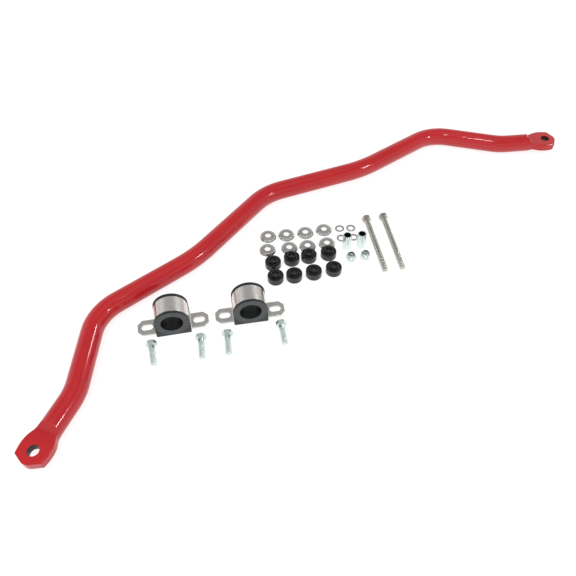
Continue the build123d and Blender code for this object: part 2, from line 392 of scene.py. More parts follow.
class Socket:
    """A shader value, so that an expression on values makes its Math nodes."""

    def __init__(self, tree: bpy.types.NodeTree, link: bpy.types.NodeSocket) -> None:
        """Wraps an output socket of a node tree."""
        self.tree = tree
        self.link = link

    def _math(self, operation: str, *values: Any) -> "Socket":
        """One Math node on the values."""
        node = self.tree.nodes.new("ShaderNodeMath")
        node.operation = operation
        for place, value in enumerate(values):
            if isinstance(value, Socket):
                self.tree.links.new(value.link, node.inputs[place])
            else:
                node.inputs[place].default_value = value
        return Socket(self.tree, node.outputs[0])

    def __add__(self, other: Any) -> "Socket":
        """Sum."""
        return self._math("ADD", self, other)

    __radd__ = __add__

    def __sub__(self, other: Any) -> "Socket":
        """Difference."""
        return self._math("SUBTRACT", self, other)

    def __rsub__(self, other: Any) -> "Socket":
        """Difference from a number."""
        return self._math("SUBTRACT", other, self)

    def __mul__(self, other: Any) -> "Socket":
        """Product."""
        return self._math("MULTIPLY", self, other)

    __rmul__ = __mul__


class Shader:
    """A material's node tree and the short ways to write it."""

    def __init__(self, name: str) -> None:
        """Starts an empty material of that name."""
        self.material = bpy.data.materials.new(name)
        self.material.use_nodes = True
        self.tree = self.material.node_tree
        self.tree.nodes.clear()

    def node(self, kind: str, settings: Union[dict, None] = None,
             inputs: Union[dict, None] = None) -> bpy.types.Node:
        """Adds a node.

        Args:
            kind: The node's type.
            settings: Properties, set first; "stops" are a ramp's (place, colour) pairs.
            inputs: Values or Sockets by input name or number.

        Returns:
            The node.
        """
        node = self.tree.nodes.new(kind)
        for key, value in (settings or {}).items():
            if key == "stops":
                elements = node.color_ramp.elements
                while len(elements) < len(value):
                    elements.new(1.0)
                for element, (place, colour) in zip(elements, value):
                    element.position = place
                    element.color = (*colour, 1.0)
            else:
                setattr(node, key, value)
        for key, value in (inputs or {}).items():
            if isinstance(value, Socket):
                self.tree.links.new(value.link, node.inputs[key])
            else:
                node.inputs[key].default_value = value
        return node

    def out(self, node: bpy.types.Node, name: Union[str, int] = 0) -> Socket:
        """An output of a node as a Socket."""
        return Socket(self.tree, node.outputs[name])

    def attribute(self, name: str) -> Socket:
        """A vector attribute of the mesh."""
        node = self.node("ShaderNodeAttribute", {"attribute_name": name})
        return self.out(node, "Vector")

    def scaled(self, vector: Socket, scale: Colour) -> Socket:
        """A vector scaled along each axis."""
        node = self.node("ShaderNodeMapping", {"vector_type": "POINT"},
                         {"Vector": vector, "Scale": scale})
        return self.out(node)

    def object_place(self) -> Socket:
        """The point in the object's own coordinates."""
        return self.out(self.node("ShaderNodeTexCoord"), "Object")

    def noise(self, vector: Socket, scale: float, detail: float = 2.0,
              roughness: float = 0.5) -> Socket:
        """Noise between 0 and 1."""
        node = self.node("ShaderNodeTexNoise", None, {
            "Vector": vector, "Scale": scale, "Detail": detail, "Roughness": roughness})
        return self.out(node, 0)

    def ramp(self, factor: Socket, *stops: tuple[float, Colour]) -> Socket:
        """Colour by a factor."""
        node = self.node("ShaderNodeValToRGB", {"stops": list(stops)}, {"Fac": factor})
        return self.out(node, "Color")

    def range(self, value: Socket, low: float, high: float, to_low: float,
              to_high: float) -> Socket:
        """A value moved from one range to another, and held to it."""
        node = self.node("ShaderNodeMapRange", {"clamp": True}, {
            "Value": value, "From Min": low, "From Max": high, "To Min": to_low, "To Max": to_high})
        return self.out(node)

    def from_axis(self, vector: Socket, height: float) -> Socket:
        """Distance of a point from the line that runs along Y at that height."""
        moved = self.node("ShaderNodeVectorMath", {"operation": "SUBTRACT"},
                          {0: vector, 1: (0.0, 0.0, height)})
        across = self.node("ShaderNodeVectorMath", {"operation": "MULTIPLY"},
                           {0: self.out(moved), 1: (1.0, 0.0, 1.0)})
        length = self.node("ShaderNodeVectorMath", {"operation": "LENGTH"}, {0: self.out(across)})
        return self.out(length, "Value")

    def shaded(self, colour: Socket, share: Socket) -> Socket:
        """A colour with its brightness multiplied by a share."""
        node = self.node("ShaderNodeHueSaturation", None, {"Color": colour, "Value": share})
        return self.out(node)

    def bump(self, height: Socket, distance: float, strength: float) -> Socket:
        """A normal tilted by a height; the distance is metres for a height of 1."""
        node = self.node("ShaderNodeBump", None, {
            "Height": height, "Distance": distance, "Strength": strength})
        return self.out(node)

    def finish(self, **inputs: Any) -> bpy.types.Material:
        """Ends the tree with a Principled surface.

        Args:
            **inputs: Its inputs, with an underscore for each space in a name.

        Returns:
            The material.
        """
        values = {key.replace("_", " "): value for key, value in inputs.items()}
        surface = self.node("ShaderNodeBsdfPrincipled", None, values)
        output = self.node("ShaderNodeOutputMaterial")
        self.tree.links.new(surface.outputs[0], output.inputs[0])
        return self.material


@dataclass(frozen=True)
class PowderCoat:
    """Gloss powder coat: even colour under a clear top, with a fine orange peel.

    Attributes:
        name: Name of the material.
        thin: Colour where the coat is thinnest.
        thick: Colour where it is thickest.
        peel: Size of the orange peel's waves.
        peel_height: Height of those waves.
        pierced: Share of the colour's brightness left on the walls of holes: painted shade.
        drift: Clouds of the coat's thickness per metre.
        speck: Specks of the gloss per metre.
        gloss: Lowest and highest roughness.
        bare: Roughness added on the walls of holes.
    """

    name: str
    thin: Colour
    thick: Colour
    peel: float = 2.2 * MM
    peel_height: float = 0.008 * MM
    pierced: float = 0.07
    drift: float = 14.0
    speck: float = 900.0
    gloss: tuple[float, float] = (0.07, 0.13)
    bare: float = 0.5

    def material(self) -> bpy.types.Material:
        """Writes the material."""
        shader = Shader(self.name)
        place = shader.object_place()
        drift = shader.noise(place, self.drift, 3.0)
        peel = shader.noise(place, 1 / self.peel, 1.5, 0.4)
        specks = shader.noise(place, self.speck, 1.0)
        colour = shader.ramp(drift, (0.35, self.thin), (0.68, self.thick))
        wall = shader.out(shader.node("ShaderNodeAttribute", {"attribute_name": "pierced"}), "Fac")
        # Painted shade: the walls of the holes keep only the pierced share of the colour's
        # brightness.
        colour = shader.shaded(colour, 1 - (1 - self.pierced) * wall)
        rough = shader.range(drift + 0.25 * specks, 0.4, 0.9, *self.gloss) + self.bare * wall
        return shader.finish(
            Base_Color=colour, Roughness=rough, Specular_IOR_Level=0.36,
            Coat_Weight=0.25, Coat_Roughness=0.03, Coat_IOR=1.45,
            Normal=shader.bump(peel, self.peel_height, 1.0))


@dataclass(frozen=True)
class CastRubber:
    """Cast polyurethane: satin, faintly mottled, with the mould's fine texture.

    Attributes:
        name: Name of the material.
        dark: Colour in the mottling's low places.
        light: Colour in its high places.
        roughness: Middle roughness.
        texture: Size of the mould's marks.
        depth: Depth of those marks.
        axis_height: Height of the bore's axis, for a block with a bore along Y.
        face: Distances from that axis between which the colour is kept; none if both are 0.
        bore_shade_and_darker_rim: Share of the colour's brightness beyond them: painted shade in
            the bore, and a darker colour on the lips and sides outside the face.
        mottle: Clouds of the mottling per metre.
        edge: Width over which the face's colour turns into the darker bore and lips.
    """

    name: str
    dark: Colour
    light: Colour
    roughness: float = 0.42
    texture: float = 0.55 * MM
    depth: float = 0.018 * MM
    axis_height: float = 0.0
    face: tuple[float, float] = (0.0, 0.0)
    bore_shade_and_darker_rim: float = 0.22
    mottle: float = 90.0
    edge: float = 0.3 * MM

    def material(self) -> bpy.types.Material:
        """Writes the material."""
        shader = Shader(self.name)
        place = shader.object_place()
        cloud = shader.noise(place, self.mottle, 4.0, 0.6)
        pores = shader.noise(place, 1 / self.texture, 2.0)
        colour = shader.ramp(cloud, (0.3, self.dark), (0.72, self.light))
        rough = shader.range(cloud, 0.3, 0.7, self.roughness - 0.06, self.roughness + 0.08)
        # Painted shade in the bore, inside the face's first distance; outside its second, on the
        # lips and sides, the colour is darker too.
        if self.face[1] > 0:
            away = shader.from_axis(shader.attribute("local"), self.axis_height)
            bore, rim = self.face
            inner = shader.range(away, bore, bore + self.edge, self.bore_shade_and_darker_rim, 1.0)
            outer = shader.range(away, rim, rim + self.edge, 1.0, self.bore_shade_and_darker_rim)
            colour = shader.shaded(colour, inner * outer)
        return shader.finish(
            Base_Color=colour, Roughness=rough, Specular_IOR_Level=0.5,
            Normal=shader.bump(pores, self.depth, 1.0))


class Grain(Enum):
    """Which way a metal's fine marks run, as scales of the grain attribute."""

    ALONG_SECOND = (1.0, 0.03, 1.0)
    NONE = (1.0, 1.0, 1.0)


@dataclass(frozen=True)
class Metal:
    """Plated or plain steel: fine drawn marks over a faint cloud of tone.

    Attributes:
        name: Name of the material.
        dark: Colour of the darker tone.
        light: Colour of the lighter tone.
        roughness: Middle roughness.
        grain: Way the marks run.
        marks: Number of marks per metre.
        depth: Depth of the marks.
        metallic: How far the plating shines as bare metal does.
        bore: Radius inside which a turned piece is darkened as painted shade; none if 0.
        bore_shade_share: Share of the colour's brightness left in that bore, as painted shade.
        cloud: Clouds of tone per metre.
        bore_shade_edge: Width over which the painted shade in the bore ends.
    """

    name: str
    dark: Colour
    light: Colour
    roughness: float
    grain: Grain = Grain.NONE
    marks: float = 2500.0
    depth: float = 0.0015 * MM
    metallic: float = 1.0
    bore: float = 0.0
    bore_shade_share: float = 0.1
    cloud: float = 160.0
    bore_shade_edge: float = 0.25 * MM

    def material(self) -> bpy.types.Material:
        """Writes the material."""
        shader = Shader(self.name)
        place = shader.object_place()
        drawn = shader.scaled(shader.attribute("grain"), self.grain.value)
        cloud = shader.noise(place, self.cloud, 3.0, 0.6)
        marks = shader.noise(drawn, self.marks, 3.0, 0.7)
        broad = shader.noise(drawn, self.marks / 6, 2.0, 0.5)
        tone = 0.2 * cloud + 0.3 * marks + 0.5 * broad
        colour = shader.ramp(tone, (0.36, self.dark), (0.62, self.light))
        rough = shader.range(0.4 * cloud + 0.6 * broad, 0.3, 0.7,
                             self.roughness - 0.04, self.roughness + 0.05)
        # Painted shade: inside the bore radius the colour keeps only bore_shade_share of its
        # brightness.
        if self.bore > 0:
            split = shader.node("ShaderNodeSeparateXYZ", None, {0: shader.attribute("grain")})
            share = shader.range(shader.out(split), self.bore, self.bore + self.bore_shade_edge,
                                 self.bore_shade_share, 1.0)
            colour = shader.shaded(colour, share)
        return shader.finish(
            Base_Color=colour, Roughness=rough, Metallic=self.metallic,
            Normal=shader.bump(marks, self.depth, 1.0))


RED_POWDER_COAT = PowderCoat("red_powder_coat", (0.480, 0.0155, 0.0195), (0.420, 0.012, 0.0155))
# The bushing's bore is darkened as painted shade; its lips and sides outside the end faces are
# darker too.
BUSHING_RUBBER = CastRubber("bushing_polyurethane", (0.034, 0.041, 0.044),
                            (0.052, 0.061, 0.065), axis_height=27.0 * MM,
                            face=(15.95 * MM, 24.7 * MM))
GROMMET_RUBBER = CastRubber("grommet_polyurethane", (0.005, 0.006, 0.006),
                            (0.011, 0.013, 0.012), roughness=0.27)
NYLON = CastRubber("nylon", (0.045, 0.047, 0.050), (0.075, 0.078, 0.082), roughness=0.36)
STRAP_STEEL = Metal("strap_steel", (0.54, 0.52, 0.48), (0.80, 0.78, 0.74), 0.22,
                    Grain.ALONG_SECOND, 1100.0, 0.002 * MM, metallic=0.85)
# The washers' hole walls keep 45 % of the colour's brightness as painted shade.
WASHER_STEEL = Metal("washer_steel", (0.50, 0.50, 0.475), (0.68, 0.68, 0.65), 0.16,
                     metallic=0.9, bore=4.97 * MM, bore_shade_share=0.45)
CLEAR_ZINC = Metal("clear_zinc", (0.56, 0.65, 0.64), (0.74, 0.83, 0.81), 0.14, metallic=0.8)
# The sleeves' bores keep 5 % of the colour's brightness as painted shade.
SLEEVE_ZINC = Metal("sleeve_zinc", (0.70, 0.79, 0.78), (0.83, 0.92, 0.90), 0.13, metallic=0.8,
                    bore=5.55 * MM, bore_shade_share=0.05)
LINK_STEEL = Metal("plated_link_steel", (0.43, 0.425, 0.385), (0.63, 0.62, 0.575), 0.14,
                   Grain.ALONG_SECOND, 2000.0, metallic=0.95)


# ------------------------------------------------------------------------------ the pieces

@dataclass
class Part:
    """What every sub-assembly shares: its finish and how a piece joins the model."""

    def settle(self, piece: bpy.types.Object, node: str, body: str, slot: str,
               material: bpy.types.Material) -> bpy.types.Object:
        """Dresses a piece and ties it to the CAD model.

        Args:
            piece: The finished piece.
            node: CAD node that it stands for.
            body: CAD body that it rides on.
            slot: Material slot of the record; not used.
            material: Its finish.

        Returns:
            The piece.
        """
        piece.data.materials.clear()
        piece.data.materials.append(material)
        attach(piece, body)
        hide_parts(node)
        log.info("%s: %d faces on body %s", piece.name, len(piece.data.polygons), body)
        return piece


def mount(name: str) -> tuple[Array, Array]:
    """Place and axis of one of the model's mounts."""
    found = next(m for m in frame["record"]["mounts"] if m["name"] == name)
    return np.array(found["pos_m"]), np.array(found["axis"])


@dataclass
class SwayBar(Part):
    """The bent round bar with a forged, pierced eye at each end.

    Attributes:
        radius: Radius of the round bar.
        runs: Distances between corners of the centreline, from its middle to the right eye.
        slopes: How far each of them falls towards the front, in degrees.
        bends: Bend radii from the middle corner outwards.
        eye_half_height: Half the thickness of the forged flat.
        eye_half_width: Half its greatest width.
        widest: How far behind the hole it is widest.
        back_radius: Radius of the bulge behind the widest place.
        front_radius: Radius of the bulge before it.
        neck: How far behind the hole the flat is narrowest.
        neck_half_width: Half-width there.
        corner: How far past the hole the bulge meets the tip's straight edge.
        tip: How far past the hole the flat ends.
        nose_radius: Radius of the tip's round nose.
        edge_round: Round-over of the tip's upper and lower edges.
        hole: Diameter of the hole.
        hole_round: Round-over of its edges.
        ramp_foot: How far behind the hole the ramp down to the flat ends.
        ramp_slope: Rise of the ramp over its run.
        worked: How far behind the hole the bar is no longer round.
        columns: Points round the bar.
        box_power: Power of the flat's section; a larger one gives tighter edges.
        ramp_blend: Sharpness of the edge between the round bar and the ramp.
        join_blend: Sharpness of the crease between the bar and the flat.
        worked_rows: Rows from the round bar to each tip's corner.
        plain_rows: Rows of the round bar between the two worked ends.
    """

    radius: float = 15.875 * MM
    runs: tuple[float, ...] = (187.3 * MM, 174.1 * MM, 132.4 * MM, 88.2 * MM)
    slopes: tuple[float, ...] = (16.5, 1.6, 51.5, 31.4)
    bends: tuple[float, ...] = (98.8 * MM, 229.0 * MM, 73.0 * MM, 89.0 * MM)
    eye_half_height: float = 6.35 * MM
    eye_half_width: float = 21.6 * MM
    widest: float = 5.0 * MM
    back_radius: float = 36.0 * MM
    front_radius: float = 66.0 * MM
    neck: float = 34.0 * MM
    neck_half_width: float = 14.5 * MM
    corner: float = 10.8 * MM
    tip: float = 18.95 * MM
    nose_radius: float = 15.2 * MM
    edge_round: float = 1.1 * MM
    hole: float = 15.1 * MM
    hole_round: float = 0.6 * MM
    ramp_foot: float = 28.0 * MM
    ramp_slope: float = 1.0
    worked: float = 54.0 * MM
    columns: int = 192
    box_power: float = 20.0
    ramp_blend: float = 44.0
    join_blend: float = 34.0
    worked_rows: int = 112
    plain_rows: int = 200

    def route(self) -> Route:
        """Centreline from the left eye's hole to the right one's."""
        slopes = np.radians(self.slopes)
        headings = np.stack([np.cos(slopes), -np.sin(slopes)], axis=1)
        steps = np.array(self.runs)[:, None] * headings
        right = np.vstack([[0.0, 0.0], np.cumsum(steps, axis=0)])
        eye = mount("right_eye")[0][:2]
        right += eye - right[-1]
        left = right[:0:-1] * np.array([-1.0, 1.0])
        bends = self.bends[:0:-1] + self.bends
        return Route(np.vstack([left, right]), np.array(bends))

    def half_width(self, along: Array) -> Array:
        """Half-width of the forged flat, by the distance past the hole's centre.

        Formula: a bulging arc on each side of the widest place, a hollow arc from the back one
        to the neck, and the tip's limit; behind the neck it narrows inside the bar.
        """
        past = along + self.widest
        run = self.neck - self.widest
        step = self.eye_half_width - self.neck_half_width
        both = (run ** 2 + step ** 2) / (2 * step)
        hollow = both - self.back_radius
        radius = np.where(past > 0, self.front_radius, self.back_radius)
        bulge = self.eye_half_width - radius + np.sqrt(np.maximum(radius ** 2 - past ** 2, 0))
        reach = np.clip(along + self.neck, 0, None)
        scooped = self.neck_half_width + hollow - np.sqrt(np.maximum(hollow ** 2 - reach ** 2, 0))
        narrowing = 0.25
        behind = self.neck_half_width + narrowing * np.minimum(along + self.neck, 0)
        inner = np.where(past < -run * self.back_radius / both, scooped, bulge)
        inner = np.where(along < -self.neck, behind, inner)
        return np.minimum(inner, self.tip_half_width(along))

    def tip_turn(self) -> float:
        """Angle from the eye's middle line to the square of the tip's straight edge.

        Formula: the direction from the nose's centre to the corner, less the angle whose cosine
        is the nose's radius over their distance.
        """
        past = self.corner + self.widest
        rise = math.sqrt(self.front_radius ** 2 - past ** 2)
        side = self.eye_half_width - self.front_radius + rise
        ahead = self.corner - (self.tip - self.nose_radius)
        return math.atan2(side, ahead) - math.acos(self.nose_radius / math.hypot(ahead, side))

    def tip_half_width(self, along: Array) -> Array:
        """Half-width that the tip leaves, and no limit behind the corners.

        Formula: the round nose's circle, and before it the straight edges that touch it.
        """
        turn, radius = self.tip_turn(), self.nose_radius
        ahead = along - (self.tip - radius)
        straight = (radius - ahead * math.cos(turn)) / math.sin(turn)
        nose = np.sqrt(np.maximum(radius ** 2 - ahead ** 2, 0))
        limit = np.where(ahead < radius * math.cos(turn), straight, nose)
        return np.where(along > self.corner - 1e-9, limit, np.inf)

    def tip_inset(self, along: Array, aside: Array) -> Array:
        """Distance of a point inside the tip's edge.

        Formula: the nose's radius less the point's farthest reach from the nose's centre, in any
        direction between the squares of the two straight edges.
        """
        ahead = along - (self.tip - self.nose_radius)
        away, bearing = np.hypot(ahead, aside), np.abs(np.arctan2(aside, ahead))
        return self.nose_radius - away * np.cos(np.clip(bearing - self.tip_turn(), 0, None))

    def reach(self, along: Array, angle: Array) -> Array:
        """Distance from the centreline to the surface, at a station and an angle.

        Formula: the round bar is the smaller of its radius and the ramp's height over the
        angle's sine.  The forged flat is a rounded box, the sum of its cosine over half-width and
        sine over half-height to a high power, to minus one over it.  The bar is the larger of
        the two, blended.
        """
        half_width = np.maximum(self.half_width(along), 0.02 * MM)
        cosine, sine = np.abs(np.cos(angle)), np.maximum(np.abs(np.sin(angle)), TINY)
        ramp = self.eye_half_height + self.ramp_slope * (-self.ramp_foot - along)
        inside_flat, flat_alone = 0.55, 0.5
        ramp = np.maximum(ramp, inside_flat * self.eye_half_height)
        ring = smooth_min(np.full_like(sine + along, self.radius), ramp / sine, self.ramp_blend)
        box = ((cosine / half_width) ** self.box_power
               + (sine / self.eye_half_height) ** self.box_power)
        flat = box ** (-1 / self.box_power)
        full = smooth_max(ring, flat, self.join_blend)
        is_worked = along > -self.worked + TINY
        past_ramp = along > -flat_alone * self.ramp_foot
        return np.where(is_worked, np.where(past_ramp, flat, full), self.radius)

    def shell(self) -> Shell:
        """The whole bar before its holes are pierced."""
        route = self.route()
        total = route.length()
        worked = np.linspace(-self.worked, self.corner, self.worked_rows)
        nose_rows, nose_end = 18, 0.985
        rounding = np.sin(np.linspace(0, nose_end, nose_rows)[1:] * math.pi / 2)
        end = np.concatenate([worked, self.corner + (self.tip - self.corner) * rounding])
        plain = np.linspace(self.worked, total - self.worked, self.plain_rows)[1:-1]
        stations = np.concatenate([-end[::-1], plain, total + end])
        along = np.concatenate([end[::-1], np.full(len(plain), -self.worked), end])[:, None]
        turn = np.linspace(0, 2 * math.pi, self.columns, endpoint=False)[None, :]
        tall = self.reach(along, np.full_like(along, math.pi / 2))
        wide = self.reach(along, np.zeros_like(along))
        angle = np.arctan2(tall * np.sin(turn), wide * np.cos(turn))
        reach = self.reach(along, angle)
        aside, height = reach * np.cos(angle), reach * np.sin(angle)
        depth = np.clip(1 - self.tip_inset(along, aside) / self.edge_round, 0, 1)
        lid = self.eye_half_height - self.edge_round * (1 - np.sqrt(1 - depth ** 2))
        lid = np.where(along > 0, lid, np.inf)
        height = np.sign(height) * np.minimum(np.abs(height), lid)
        points, headings = route.at(np.clip(stations, 0, total))
        beyond = stations - np.clip(stations, 0, total)
        points = points + beyond[:, None] * np.stack([np.cos(headings), np.sin(headings)], axis=1)
        side = np.stack([-np.sin(headings), np.cos(headings)], axis=1)
        flat = points[:, None, :] + side[:, None, :] * aside[..., None]
        return Shell(np.concatenate([flat, (self.radius + height)[..., None]], axis=-1))

    def mark_holes(self, bar: bpy.types.Object) -> None:
        """Writes "pierced", 1 on the walls of the holes and 0 elsewhere.

        Formula: a vertex is on a wall where its distance from a hole's axis is less than the
        hole's radius and a small share of the round-over of its edges.
        """
        points = np.zeros(len(bar.data.vertices) * 3)
        bar.data.vertices.foreach_get("co", points)
        points = points.reshape(-1, 3)
        wall, share_of_round = np.zeros(len(points)), 0.3
        for side in ("left", "right"):
            away = np.linalg.norm(points[:, :2] - mount(f"{side}_eye")[0][:2], axis=1)
            wall[away < self.hole / 2 + share_of_round * self.hole_round] = 1.0
        layer = bar.data.attributes.new("pierced", "FLOAT", "POINT")
        layer.data.foreach_set("value", wall.astype(np.float32))

    def build(self) -> None:
        """Makes the bar and pierces its eyes."""
        crease = 50.0
        nowhere = Axes(np.zeros(3), np.array([1.0, 0.0, 0.0]))
        bar = mesh_piece("bar_red", self.shell(), nowhere, crease)
        plug = slot_cutter(self.hole, self.hole, 2 * self.eye_half_height, self.hole_round)
        plugs = [mesh_piece(f"plug_{side}", plug, Axes(mount(f"{side}_eye")[0], nowhere.x))
                 for side in ("left", "right")]
        cut(bar, plugs, crease)
        self.mark_holes(bar)
        self.settle(bar, "sway_bar", "bar", "red_powder_coat", RED_POWDER_COAT.material())


class Line(Enum):
    """Outline that a row of the bushing's section follows."""

    BORE = 0
    LIP = 1
    GROOVE = 2


@dataclass
class FrameBushing(Part):
    """The domed bushing and the slotted strap that holds it down.

    Attributes:
        side: Left or right.
        length: Length of the bushing along its bore.
        bore: Radius of the bore.
        bore_height: Height of its axis.
        dome: Radius and half-width of the lips.
        groove: Radius and half-width of the groove that the strap lies in.
        lip: Width of each lip.
        edge: Round-over of the lips.
        slit: Width of the slit under the bore.
        strap_thickness: Thickness of the strap.
        strap_half_width: Half its width.
        strap_line: Radius of its middle line over the dome.
        strap_lift: Height of its ears' underside.
        strap_bend: Radius of the bends at the ears.
        ear_reach: Distance from the middle to the end of an ear.
        ear_cut: Size of the ears' cut corners.
        slot_centre: Distance from the middle to each slot's.
        slot_size: Length and width of a slot.
        columns: Points round the bushing, the slit's two sides among them.
        base_blend: Sharpness of the corners of the flat base.
    """

    side: str
    length: float = 36.0 * MM
    bore: float = 15.925 * MM
    bore_height: float = 27.0 * MM
    dome: float = 25.4 * MM
    groove: float = 21.35 * MM
    lip: float = 4.2 * MM
    edge: float = 0.9 * MM
    slit: float = 0.12 * MM
    strap_thickness: float = 3.0 * MM
    strap_half_width: float = 13.5 * MM
    strap_line: float = 23.1 * MM
    strap_lift: float = 1.5 * MM
    strap_bend: float = 4.0 * MM
    ear_reach: float = 52.0 * MM
    ear_cut: float = 7.0 * MM
    slot_centre: float = 38.01 * MM
    slot_size: tuple[float, float] = (17.0 * MM, 10.3 * MM)
    columns: int = 241
    base_blend: float = 90.0

    def axes(self) -> Axes:
        """The bushing's own axes: X across the bore, Y along it, Z up, on the floor."""
        place, axis = mount(f"{self.side}_bushing_bore")
        place[2] = 0.0
        return Axes(place, np.cross(axis, UP))

    def outline(self, angle: Array, half_width: float) -> Array:
        """Distance from the bore's axis to the block, by angle.

        Formula: the half-width above the axis; below it, the nearer of the straight side and the
        flat base, blended into a small corner.
        """
        sine = np.maximum(-np.sin(angle), TINY)
        cosine = np.maximum(np.abs(np.cos(angle)), TINY)
        below = smooth_min(half_width / cosine, self.bore_height / sine, self.base_blend)
        return np.where(np.sin(angle) >= 0, half_width, below)

    def bushing_shell(self) -> Shell:
        """The bushing as a section carried round the bore, open at the slit under it.

        Formula: each point of the section lies at a share of the way from the bore to the lip's
        or the groove's outline, less a small round-over, and at its own place along the bore.
        """
        half = self.length / 2
        inner, outer, groove = Line.BORE.value, Line.LIP.value, Line.GROOVE.value
        e, r = self.edge, 0.45 * MM
        quarter = np.linspace(0, math.pi / 2, 6)
        rows = [(inner, 0, -half + 3 * e), (inner, 0, -half + r)]
        rows += [(inner, r * (1 - math.cos(a)), -half + r * (1 - math.sin(a))) for a in quarter[1:]]
        rows += [(inner, r + 0.3 * MM, -half), (outer, -e - 0.3 * MM, -half)]
        rows += [(outer, -e * (1 - math.sin(a)), -half + e * (1 - math.cos(a))) for a in quarter]
        rows += [(outer, 0, -half + self.lip - 0.5 * MM), (outer, -0.15 * MM, -half + self.lip)]
        rows += [(groove, 0.1 * MM, -half + self.lip), (groove, 0, -half + self.lip + 0.1 * MM)]
        rows += [(kind, off, -along) for kind, off, along in rows[::-1]]
        kind, offset, along = (np.array(column) for column in zip(*rows))
        angle = np.linspace(-math.pi / 2, 1.5 * math.pi, self.columns)[:, None]
        lip, groove_line = self.outline(angle, self.dome), self.outline(angle, self.groove)
        line = np.where(kind == inner, self.bore, np.where(kind == outer, lip, groove_line))
        reach = line + offset
        x, z = reach * np.cos(angle), reach * np.sin(angle)
        lowness = ((1 - np.sin(angle)) / 2) ** 2
        part = self.slit / 2 * lowness * np.clip(1 - np.abs(x) / self.dome, 0, 1)
        first_half = np.linspace(-1, 1, self.columns)[:, None] <= 0
        x = x + np.where(first_half, part, -part)
        y = np.broadcast_to(along, x.shape)
        return Shell(np.stack([x, y, z + self.bore_height], axis=-1))

    def strap_shell(self) -> Shell:
        """The strap: a rounded strip carried along its bent line.

        Formula: a rectangle with quarter-round corners across the line; its half-width shrinks by
        the ear's corner cut near each end, and its last edge is a quarter round too.
        """
        floor_line = self.strap_lift + self.strap_thickness / 2
        top = self.bore_height + self.strap_line
        w, ear = self.strap_line, self.ear_reach
        route = Route(np.array([(ear, floor_line), (w, floor_line), (w, top), (-w, top),
                                (-w, floor_line), (-ear, floor_line)]),
                      np.array([self.strap_bend, w, w, self.strap_bend]))
        total, r = route.length(), 0.55 * MM
        quarter = np.linspace(0, 1, 6) * math.pi / 2
        start = r * (1 - np.cos(quarter))
        plain = np.linspace(r, total - r, 200)[1:-1]
        cuts = [self.ear_cut, total - self.ear_cut]
        stations = np.sort(np.concatenate([start, plain, total - start[::-1], cuts]))
        end = np.minimum(stations, total - stations)
        shrink = r - np.sqrt(np.maximum(r ** 2 - np.clip(r - end, 0, r) ** 2, 0))
        half_width = self.strap_half_width - np.clip(self.ear_cut - end, 0, None) - shrink
        half_depth = self.strap_thickness / 2 - shrink
        wide, round_edge = 19, 9
        across = np.linspace(-1, 1, wide)
        edge = np.sin(np.linspace(-1, 1, round_edge) * math.pi / 2)
        rim = np.cos(np.linspace(-1, 1, round_edge) * math.pi / 2)
        fixed_y = np.concatenate([across * 0, rim * r, across * 0, -rim * r])
        scale_y = np.concatenate([across, edge * 0 + 1, -across, edge * 0 - 1])
        fixed_n = np.concatenate([across * 0 - 1, edge, across * 0 + 1, -edge])
        flat_side = np.abs(fixed_n) >= 1
        y = scale_y * (half_width[:, None] - r) + fixed_y
        depth = np.where(flat_side, fixed_n * half_depth[:, None],
                         np.sign(fixed_n) * (half_depth[:, None] - r) + fixed_n * r)
        inner_only = np.r_[False, np.full(round_edge - 2, True), False]
        keep = np.tile(np.concatenate([np.full(wide, True), inner_only]), 2)
        y, depth = y[:, keep], depth[:, keep]
        points, heading = route.at(stations)
        normal = np.stack([-np.sin(heading), np.cos(heading)], axis=1)
        flat = points[:, None, :] + normal[:, None, :] * depth[..., None]
        shape = np.stack([flat[..., 0], y, flat[..., 1]], axis=-1)
        grain = np.stack([np.broadcast_to(stations[:, None], y.shape), y, depth], axis=-1)
        return Shell(shape, grain=grain)

    def build(self) -> None:
        """Makes the bushing and its strap."""
        axes = self.axes()
        bushing = mesh_piece(f"bushing_{self.side}_black", self.bushing_shell(), axes, 40.0)
        self.settle(bushing, f"frame_bushing_{self.side}", f"bushing_{self.side}",
                    "bushing_polyurethane", BUSHING_RUBBER.material())
        crease, slot_round = 50.0, 0.4 * MM
        strap = mesh_piece(f"strap_{self.side}_steel", self.strap_shell(), axes, crease)
        plug = slot_cutter(*self.slot_size, self.strap_thickness, slot_round)
        middle = self.strap_lift + self.strap_thickness / 2
        plugs = []
        for way in (-1, 1):
            centre = axes.carry(np.array([way * self.slot_centre, 0.0, middle]))
            plugs.append(mesh_piece(f"slot_{way}", plug, Axes(centre, axes.x)))
        cut(strap, plugs, crease)
        self.settle(strap, f"bushing_strap_{self.side}", f"strap_{self.side}", "strap_steel",
                    STRAP_STEEL.material())


